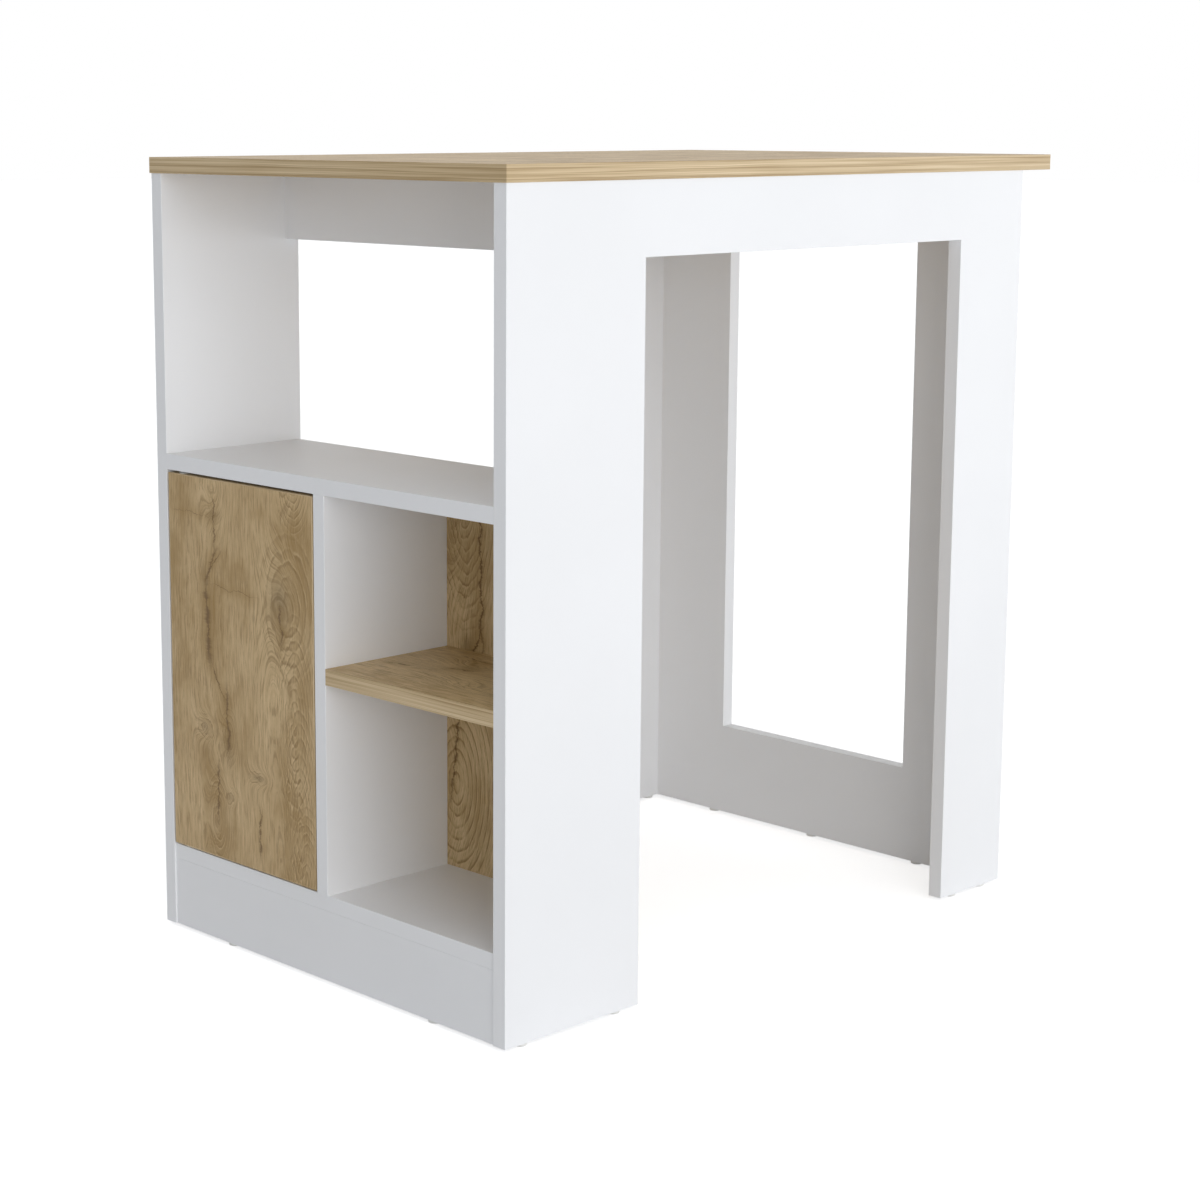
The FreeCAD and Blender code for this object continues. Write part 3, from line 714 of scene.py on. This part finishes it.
bpy.ops.object.select_all(action="DESELECT")
bpy.ops.mesh.primitive_plane_add(size=floor_reach, location=(0.0, 0.0, 0.0))
floor = bpy.context.object
floor.name = "studio_floor"
floor_finish, floor_tree, floor_shader = begin_finish("studio_floor")
floor_grain = speckle(floor_tree, object_place(floor_tree), 1 / floor_grain_mm, detail=3.0)
floor_tone = blend(floor_tree, floor_grain, floor_pale, floor_paler)
feed(floor_tree, floor_shader.inputs["Base Color"], floor_tone)
floor_shader.inputs["Roughness"].default_value = floor_roughness
floor_shader.inputs["Specular IOR Level"].default_value = 0.0
floor_shader.inputs["Emission Color"].default_value = white_light
feed(floor_tree, floor_shader.inputs["Emission Strength"],
     calc(floor_tree, "MULTIPLY", seen_directly(floor_tree), floor_lift))
floor.data.materials.append(floor_finish)
print("floor", floor_reach, "m across, sky level", sky_level)

# %% [markdown]
# In the picture the long near side is bright, the cabinet's front gets about half as much light,
# and the niche is lit well up to the countertop. One high lamp would leave a dark band there, so
# two softboxes stand low at the near side, and a broad low sun comes from the cabinet's corner. A
# weak sun overhead lights the countertop. Another from behind lifts the faces that the picture
# doesn't show; its glare is off, because it would whiten the countertop at the camera's low angle.
# A softbox has its power and turn, and a sun its strength, height, turn and whether it glares.

# %% Lamps
softbox_width = 3.0
softbox_height = 1.4
softbox_distance = 4.0
softbox_middle = 0.72
softboxes = [("corner_softbox", 35.0, -20.0), ("side_softbox", 30.0, 40.0)]
sun_spread = math.radians(60)
suns = [
    ("low_sun", 0.72, 14.0, -30.0, True),
    ("overhead_sun", 0.58, 84.0, -40.0, True),
    ("rear_sun", 0.8, 4.0, 140.0, False),
]


def place_lamp(name, lamp, drop, turn, place=(0.0, 0.0, 0.0), glare=True):
    """Aim a lamp: turn 0 shines along +Y, and drop is how steeply it shines down."""
    holder = bpy.data.objects.new(name, lamp)
    holder.location = place
    holder.rotation_euler = (math.pi / 2 - drop, 0.0, turn)
    holder.visible_camera = False
    holder.visible_glossy = glare
    bpy.context.scene.collection.objects.link(holder)


for name, watts, degrees in softboxes:
    softbox = bpy.data.lights.new(name, "AREA")
    softbox.shape = "RECTANGLE"
    softbox.size = softbox_width
    softbox.size_y = softbox_height
    softbox.energy = watts
    turn = math.radians(degrees)
    place = (softbox_distance * math.sin(turn), -softbox_distance * math.cos(turn), softbox_middle)
    place_lamp(name, softbox, 0.0, turn, place)
for name, strength, height, degrees, glare in suns:
    sun = bpy.data.lights.new(name, "SUN")
    sun.energy = strength
    sun.angle = sun_spread
    place_lamp(name, sun, math.radians(height), math.radians(degrees), glare=glare)
bpy.context.scene.view_settings.view_transform = "Standard"
print("softboxes", [lamp[:2] for lamp in softboxes], "suns", [lamp[:2] for lamp in suns])
